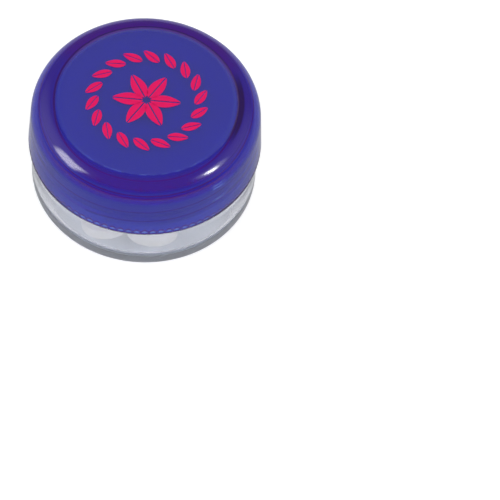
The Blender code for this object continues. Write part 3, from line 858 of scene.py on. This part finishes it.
class MINTPOT_OT_jar(bpy.types.Operator):
    """Turns the clear jar with its foot, ledge and threaded neck."""

    bl_idname = "mintpot.jar"
    bl_label = "Jar"

    def execute(self, context):
        jar, thread = settings().jar, settings().thread
        ledge_radius, rim_height = JAR_HIGH.x, JAR_HIGH.z
        rim_radius = jar.bore_radius + jar.bore_draft
        foot_radius = jar.body_radius - jar.foot_fillet
        ring_radius = foot_radius - jar.foot_ring_width
        band_base = jar.ledge_height - jar.ledge_depth
        overhang = ledge_radius - jar.body_radius
        floor_corner = (jar.bore_radius - jar.floor_fillet, jar.floor_thickness + jar.floor_fillet)
        under = [
            (0.0, jar.foot_recess),
            (ring_radius - jar.foot_recess, jar.foot_recess),
            (ring_radius, 0.0),
            (foot_radius, 0.0),
        ]
        # A rounding is kept a little smaller than the side that it would otherwise take up
        lower = rounded(
            [
                (foot_radius, 0.0, 0.0),
                (jar.body_radius, 0.0, jar.foot_fillet * 0.999),
                (jar.body_radius, band_base, 0.1 * MM),
                (ledge_radius, band_base + overhang, 0.15 * MM),
                (ledge_radius, jar.ledge_height, 0.3 * MM),
                (jar.neck_radius, jar.ledge_height, jar.neck_fillet),
                (jar.neck_radius, jar.ledge_height + jar.neck_fillet * 1.01, 0.0),
            ],
            12,
        )
        wall = [lower[-1], (jar.neck_radius, rim_height - jar.rim_round)]
        upper = rounded(
            [
                (*wall[1], 0.0),
                (jar.neck_radius, rim_height, jar.rim_round * 0.99),
                (rim_radius, rim_height, jar.rim_round * 0.99),
                (jar.bore_radius, floor_corner[1], 0.0),
            ],
            8,
        )
        floor = [*arc(floor_corner, jar.floor_fillet, 0.0, -90.0, 8), (0.0, jar.floor_thickness)]
        spacing = 1.2 * MM
        outline = outline_mesh(
            "jar_outline",
            [
                (dense(under, spacing), 0.0, 0.0, 0.0),
                (dense(lower, spacing), 0.0, 0.0, 1.0),
                (dense(wall, thread.row_height), 1.0, 0.0, 1.0),
                (dense(upper, spacing), 0.0, 0.0, 1.0),
                (dense(floor, spacing), 0.0, 0.0, 0.0),
            ],
        )
        ridges = {
            "Thread Depth": thread.depth,
            "First Angle": thread.first_angle,
            "First Height": thread.neck_start,
            "Turns": thread.neck_turns,
        }
        piece = turn_piece("jar_shell", outline, clear_styrene(), JAR_COLUMNS, **ridges)
        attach(piece, "jar")
        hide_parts("jar")
        return {"FINISHED"}


class MINTPOT_OT_lid(bpy.types.Operator):
    """Turns the tinted lid with its pressing ring, its inner thread and the arches over its lower edge."""

    bl_idname = "mintpot.lid"
    bl_label = "Lid"

    def execute(self, context):
        lid, thread = settings().lid, settings().thread
        base = LID_LOW.z
        height = LID_HIGH.z - base
        edge_radius = LID_HIGH.x
        flare = (edge_radius - lid.radius) / (height - lid.fillet - lid.edge_round)
        # The fine rows reach a little over the arches' rims
        arch_top = lid.arch_foot + lid.arch_height * 1.9
        arches_start = (edge_radius - flare * arch_top, arch_top, 0.0)
        top_edge = (lid.radius - flare * lid.fillet, height, lid.fillet)
        outside = rounded([(0.0, height, 0.0), top_edge, arches_start], 26)
        lower_edge = (edge_radius, 0.0, lid.edge_round)
        arch_zone = rounded([arches_start, lower_edge, (lid.bore_radius, 0.0, 0.0)], 6)[:-1]
        wall_top = lid.ceiling - lid.inner_fillet
        wall = [(lid.bore_radius, 0.0), (lid.bore_radius, wall_top)]
        centre = (lid.bore_radius - lid.inner_fillet, wall_top)
        ring_angle = math.degrees(math.acos((lid.ring_radius - centre[0]) / lid.inner_fillet))
        ring_base = lid.ceiling - lid.ring_depth
        inside = arc(centre, lid.inner_fillet, 0.0, ring_angle, 8)
        inside += rounded(
            [
                (*inside[-1], 0.0),
                (lid.ring_radius, ring_base, 0.2 * MM),
                (lid.ring_radius - lid.ring_width, ring_base, 0.2 * MM),
                (lid.ring_radius - lid.ring_width, lid.ceiling, 0.3 * MM),
                (0.0, lid.ceiling, 0.0),
            ],
            4,
        )
        spacing, fine_spacing = 4.0 * MM, 0.11 * MM
        outline = outline_mesh(
            "lid_outline",
            [
                (dense(outside, spacing), 0.0, 0.0, 1.0),
                (dense(arch_zone, fine_spacing), 0.0, 1.0, 1.0),
                (dense(wall, thread.row_height * 1.8), 1.0, 0.0, 0.0),
                (dense(inside, spacing), 0.0, 0.0, 0.0),
            ],
            base,
        )
        pitch = thread.lead / thread.starts
        up_the_track = (base + thread.lid_start + pitch / 2 - thread.neck_start) / thread.lead
        ridges_and_arches = {
            "Thread Depth": -thread.depth,
            "First Angle": thread.first_angle + math.tau * up_the_track,
            "First Height": base + thread.lid_start,
            "Turns": thread.lid_turns,
            "Arches": lid.arches,
            "Arch Height": lid.arch_height,
            "Arch Depth": lid.arch_depth,
            "Arch Base": base + lid.arch_foot,
        }
        columns = lid.arches * ARCH_COLUMNS
        piece = turn_piece("lid_shell", outline, blue_styrene(), columns, **ridges_and_arches)
        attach(piece, "lid")
        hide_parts("lid")
        return {"FINISHED"}


class MINTPOT_OT_seal(bpy.types.Operator):
    """Turns the loose seal disc that lies on the jar's rim."""

    bl_idname = "mintpot.seal"
    bl_label = "Seal Disc"

    def execute(self, context):
        seal = settings().seal
        base = SEAL_LOW.z + seal.lip_depth
        inner_radius = seal.lip_radius - seal.lip_width
        fine = 0.15 * MM
        outline = rounded(
            [
                (0.0, SEAL_HIGH.z, 0.0),
                (SEAL_HIGH.x, SEAL_HIGH.z, fine),
                (SEAL_HIGH.x, base, fine),
                (seal.lip_radius, base, fine),
                (seal.lip_radius, SEAL_LOW.z, fine),
                (inner_radius, SEAL_LOW.z, fine),
                (inner_radius, base, fine),
                (0.0, base, 0.0),
            ]
        )
        mesh = outline_mesh("seal_outline", [(dense(outline, 2.0 * MM), 0.0, 0.0, 1.0)])
        piece = turn_piece("seal_film", mesh, milky_polyethylene(), SEAL_COLUMNS)
        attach(piece, "seal")
        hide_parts("seal_disc")
        return {"FINISHED"}


def middle_and_axis(node):
    """The centre of a round flat node, and the direction in which it is thinnest."""
    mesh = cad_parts[node].data
    places = np.zeros(len(mesh.vertices) * 3)
    mesh.vertices.foreach_get("co", places)
    places = places.reshape(-1, 3)
    middle = (places.min(axis=0) + places.max(axis=0)) / 2
    for _ in range(3):
        away = places - middle
        axis = np.linalg.svd(away, full_matrices=False)[2][-1]
        along = away @ axis
        middle = middle + axis * (along.min() + along.max()) / 2
    return middle, axis


class MINTPOT_OT_mints(bpy.types.Operator):
    """Presses one mint and pours a copy of it in the place of every solid one."""

    bl_idname = "mintpot.mints"
    bl_label = "Mints"

    def execute(self, context):
        mints = settings().mints
        material = pressed_sugar()
        half_band = mints.band / 2
        ball = (mints.radius**2 + mints.crown**2) / (2 * mints.crown)
        edge = math.degrees(math.asin(mints.radius / ball))
        crown = arc((0.0, half_band + mints.crown - ball), ball, 90.0, 90.0 - edge, 8)
        crown[0] = (0.0, crown[0][1])
        corners = [(*point, 0.0) for point in crown[:-1]]
        corners.append((mints.radius, half_band, mints.edge_round))
        corners += [(r, -z, rounding) for r, z, rounding in reversed(corners)]
        outline = outline_mesh("mint_outline", [(dense(rounded(corners, 3), 0.8 * MM), 0.0, 0.0, 1.0)])
        mint = turn_piece("one_mint", outline, material, MINT_COLUMNS)
        middles, axes = zip(*(middle_and_axis(node) for node in MINT_NODES))
        mesh = bpy.data.meshes.new("mint_places")
        mesh.from_pydata([tuple(middle) for middle in middles], [], [])
        mesh.attributes.new("axis", "FLOAT_VECTOR", "POINT").data.foreach_set("vector", np.concatenate(axes))
        pile = {
            "Mint": mint,
            "Seed": mints.seed,
            "Grain": mints.grain,
            "Grain Size": mints.grain_size,
            "Material": material,
        }
        piece = run_tree(poured_mints, "mint_pile", mesh, pile)
        bpy.data.objects.remove(mint)
        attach(piece, "jar")
        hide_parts(*MINT_NODES)
        return {"FINISHED"}


def leaf_object(name, long, wide, thickness):
    """A leaf of ink that starts at its stalk and points along X: two halves with a bare midrib between."""
    gap = wide * 0.045
    places, faces = [], []
    for side in (1, -1):
        ring = []
        for step in range(LEAF_STEPS + 1):
            part = step / LEAF_STEPS
            swell = math.sin(math.pi * part**0.85) ** 0.8
            ring.append((long * part, side * (gap + (wide / 2 - gap) * swell)))
        ring += [(long * step / LEAF_STEPS, side * gap) for step in range(LEAF_STEPS - 1, 0, -1)]
        bottom = list(range(len(places), len(places) + len(ring)))
        top = [number + len(ring) for number in bottom]
        places += [(x, y, z) for z in (0.0, thickness) for x, y in ring[::side]]
        faces += [bottom, top[::-1]]
        faces += [(bottom[k - 1], top[k - 1], top[k], bottom[k]) for k in range(len(ring))]
    mesh = bpy.data.meshes.new(name)
    mesh.from_pydata(places, [], faces)
    made = bpy.data.objects.new(name, mesh)
    bpy.context.scene.collection.objects.link(made)
    return made


class MINTPOT_OT_print(bpy.types.Operator):
    """Prints a rosette of leaves on the lid's flat top."""

    bl_idname = "mintpot.print"
    bl_label = "Lid Print"

    def execute(self, context):
        ink = settings().ink_print
        shared = {"Height": LID_HIGH.z + ink.lift, "Material": screen_ink()}
        leaf = leaf_object("ring_leaf", ink.leaf_length, ink.leaf_width, ink.thickness)
        petal = leaf_object("petal", ink.petal_length, ink.petal_width, ink.thickness)
        ring = {"Leaf": leaf, "Count": ink.leaves, "Radius": ink.ring_radius, "Lean": math.pi / 2 - ink.lean}
        middle = {"Leaf": petal, "Count": ink.petals, "Radius": ink.petal_start, "Lean": 0.0}
        made = [
            run_tree(printed_rosette, name, bpy.data.meshes.new(name), {**values, **shared})
            for name, values in (("ring", ring), ("middle", middle))
        ]
        for shape in (leaf, petal):
            bpy.data.objects.remove(shape)
        with bpy.context.temp_override(active_object=made[0], selected_editable_objects=made):
            bpy.ops.object.join()
        piece = made[0]
        piece.name = "lid_print"
        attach(piece, "lid")
        return {"FINISHED"}


def sky_direction(azimuth, elevation):
    """The way to a point of the sky, in degrees: azimuth 0 is on the viewer's side and 90 at +X."""
    a, e = math.radians(azimuth), math.radians(elevation)
    return Vector((math.sin(a) * math.cos(e), -math.cos(a) * math.cos(e), math.sin(e)))


def area_lamp(name, azimuth, elevation, wide, high, radiance):
    """A soft box aimed at the pot, which the gloss doesn't show."""
    data = bpy.data.lights.new(name, "AREA")
    data.shape = "RECTANGLE"
    data.size, data.size_y = wide, high
    data.energy = radiance * math.pi * wide * high
    lamp = bpy.data.objects.new(name, data)
    lamp.visible_glossy = False
    away = sky_direction(azimuth, elevation)
    lamp.location = Vector((0.0, 0.0, LID_LOW.z)) + away * LAMP_DISTANCE
    lamp.rotation_euler = (-away).to_track_quat("-Z", "Y").to_euler()
    bpy.context.scene.collection.objects.link(lamp)


def gloss_patch(w, brightness, azimuth, elevation, half_width, half_height, softness):
    """A bright window with soft edges that only the gloss shows: how bright it is in each direction."""
    centre = sky_direction(azimuth, elevation)
    across = sky_direction(azimuth + 90.0, 0.0)
    way = w.node("ShaderNodeTexCoord").outputs["Generated"]
    ahead = w.vector("DOT_PRODUCT", way, centre).outputs["Value"]
    shown = w.math("GREATER_THAN", ahead, 0.1)
    for axis, half in ((across, half_width), (centre.cross(across), half_height)):
        aside = w.vector("DOT_PRODUCT", way, axis).outputs["Value"]
        off = w.math("ABSOLUTE", w.over(aside, w.most(ahead, 0.1)))
        reach = math.tan(math.radians(half))
        shown = w.times(shown, w.minus(1.0, w.ease(off, reach * (1.0 - softness), reach)))
    return w.times(shown, brightness)


def studio_world():
    """White for the camera and behind clear plastic, a room with windows in the gloss, and soft light."""
    world = bpy.data.worlds.new("studio")
    bpy.context.scene.world = world
    world.use_nodes = True
    world.node_tree.nodes.clear()
    w = Wiring(world.node_tree)
    stage = settings().stage
    height = w.split(w.node("ShaderNodeTexCoord").outputs["Generated"])["Z"]
    low, high = stage.ambient * LOW_SKY, stage.ambient * HIGH_SKY
    ends = {"Value": height, "From Min": -0.2, "From Max": 1.0, "To Min": low, "To Max": high}
    sky = w.node("ShaderNodeMapRange", ends).outputs[0]
    gloss = w.between(w.ease(height, -0.05, 0.1), stage.horizon, stage.ceiling)
    for patch in GLOSS_PATCHES:
        gloss = w.most(gloss, gloss_patch(w, *patch))
    path = w.node("ShaderNodeLightPath").outputs
    seen = w.most(path["Is Camera Ray"], path["Is Transmission Ray"])
    strength = w.mix(seen, w.mix(path["Is Glossy Ray"], sky, gloss), 1.0)
    light = w.node("ShaderNodeBackground", {"Color": (1.0, 1.0, 1.0, 1.0), "Strength": strength})
    w.node("ShaderNodeOutputWorld", {"Surface": light.outputs[0]})


def floor_material():
    """A pale floor that shows as white, apart from the pot's shadow."""
    material, w, output = new_material("floor_paper")
    pale = settings().colours.stage
    paper = w.tint(w.noise(1.5 * MM, 3.0), pale, tuple(value * 0.985 for value in pale))
    path = w.node("ShaderNodeLightPath").outputs
    seen = w.most(*(w.times(path[ray], glow) for ray, glow in FLOOR_GLOW.items()))
    shader = w.node("ShaderNodeBsdfDiffuse", {"Color": paper}).outputs[0]
    glow = w.node("ShaderNodeEmission", {"Color": (1.0, 1.0, 1.0, 1.0), "Strength": seen}).outputs[0]
    w.feed(output.inputs["Surface"], w.node("ShaderNodeAddShader", {0: shader, 1: glow}).outputs[0])
    return material


def place_camera():
    """The camera, set so that the lid's lower edge is centred on its pixel of a square picture."""
    stage = settings().stage
    data = bpy.data.cameras.new("camera")
    data.lens = stage.lens
    data.sensor_width = 36.0
    camera = bpy.data.objects.new("camera", data)
    bpy.context.scene.collection.objects.link(camera)
    back = Vector((0.0, -math.cos(stage.elevation), math.sin(stage.elevation)))
    right = Vector((1.0, 0.0, 0.0))
    up = back.cross(right)
    turned_right = right * math.cos(stage.roll) + up * math.sin(stage.roll)
    turned_up = up * math.cos(stage.roll) - right * math.sin(stage.roll)
    pixel = stage.distance / (stage.lens / data.sensor_width * PICTURE_PIXELS)
    across = (stage.pixel_x - PICTURE_PIXELS / 2) * pixel
    down = (stage.pixel_y - PICTURE_PIXELS / 2) * pixel
    target = Vector((0.0, 0.0, LID_LOW.z))
    place = target + back * stage.distance - turned_right * across + turned_up * down
    turn = Matrix((turned_right, turned_up, back)).transposed().to_4x4()
    camera.matrix_world = Matrix.Translation(place) @ turn
    bpy.context.scene.camera = camera


class MINTPOT_OT_stage(bpy.types.Operator):
    """Sets the floor, the lamps, the world and the camera."""

    bl_idname = "mintpot.stage"
    bl_label = "Stage"

    def execute(self, context):
        corners = [(-1, -1), (1, -1), (1, 1), (-1, 1)]
        mesh = bpy.data.meshes.new("floor")
        mesh.from_pydata([(x * FLOOR_REACH, y * FLOOR_REACH, 0.0) for x, y in corners], [], [(0, 1, 2, 3)])
        mesh.materials.append(floor_material())
        floor = bpy.data.objects.new("floor", mesh)
        floor.location.z = -FLOOR_DROP
        bpy.context.scene.collection.objects.link(floor)
        for name, lamp in LAMPS.items():
            area_lamp(name, *lamp)
        studio_world()
        place_camera()
        scene = bpy.context.scene
        scene.view_settings.view_transform = "Standard"
        scene.cycles.transparent_max_bounces = 32
        scene.cycles.transmission_bounces = 20
        scene.cycles.max_bounces = 24
        scene.cycles.caustics_refractive = True
        scene.cycles.caustics_reflective = False
        return {"FINISHED"}


OPERATORS = (
    MINTPOT_OT_stage,
    MINTPOT_OT_jar,
    MINTPOT_OT_mints,
    MINTPOT_OT_seal,
    MINTPOT_OT_lid,
    MINTPOT_OT_print,
)


class MINTPOT_PT_panel(bpy.types.Panel):
    """Lists the steps that make the mint pot, and its colours."""

    bl_idname = "MINTPOT_PT_panel"
    bl_label = "Mint Pot"
    bl_space_type = "VIEW_3D"
    bl_region_type = "UI"
    bl_category = "Mint Pot"

    def draw(self, context):
        for operator in OPERATORS:
            self.layout.operator(operator.bl_idname)
        for name in MintPotColours.__annotations__:
            self.layout.prop(context.scene.mint_pot.colours, name)


CLASSES = (
    MintPotJar,
    MintPotThread,
    MintPotLid,
    MintPotSeal,
    MintPotMints,
    MintPotPrint,
    MintPotColours,
    MintPotStage,
    MintPotSettings,
    *OPERATORS,
    MINTPOT_PT_panel,
)


def register():
    for item in CLASSES:
        bpy.utils.register_class(item)
    bpy.types.Scene.mint_pot = PointerProperty(type=MintPotSettings)


def unregister():
    del bpy.types.Scene.mint_pot
    for item in reversed(CLASSES):
        bpy.utils.unregister_class(item)


def main():
    """Makes every piece in order."""
    register()
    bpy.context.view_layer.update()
    bpy.ops.mintpot.stage()
    bpy.ops.mintpot.jar()
    bpy.ops.mintpot.mints()
    bpy.ops.mintpot.seal()
    bpy.ops.mintpot.lid()
    bpy.ops.mintpot.print()


if __name__ == "__main__":
    main()
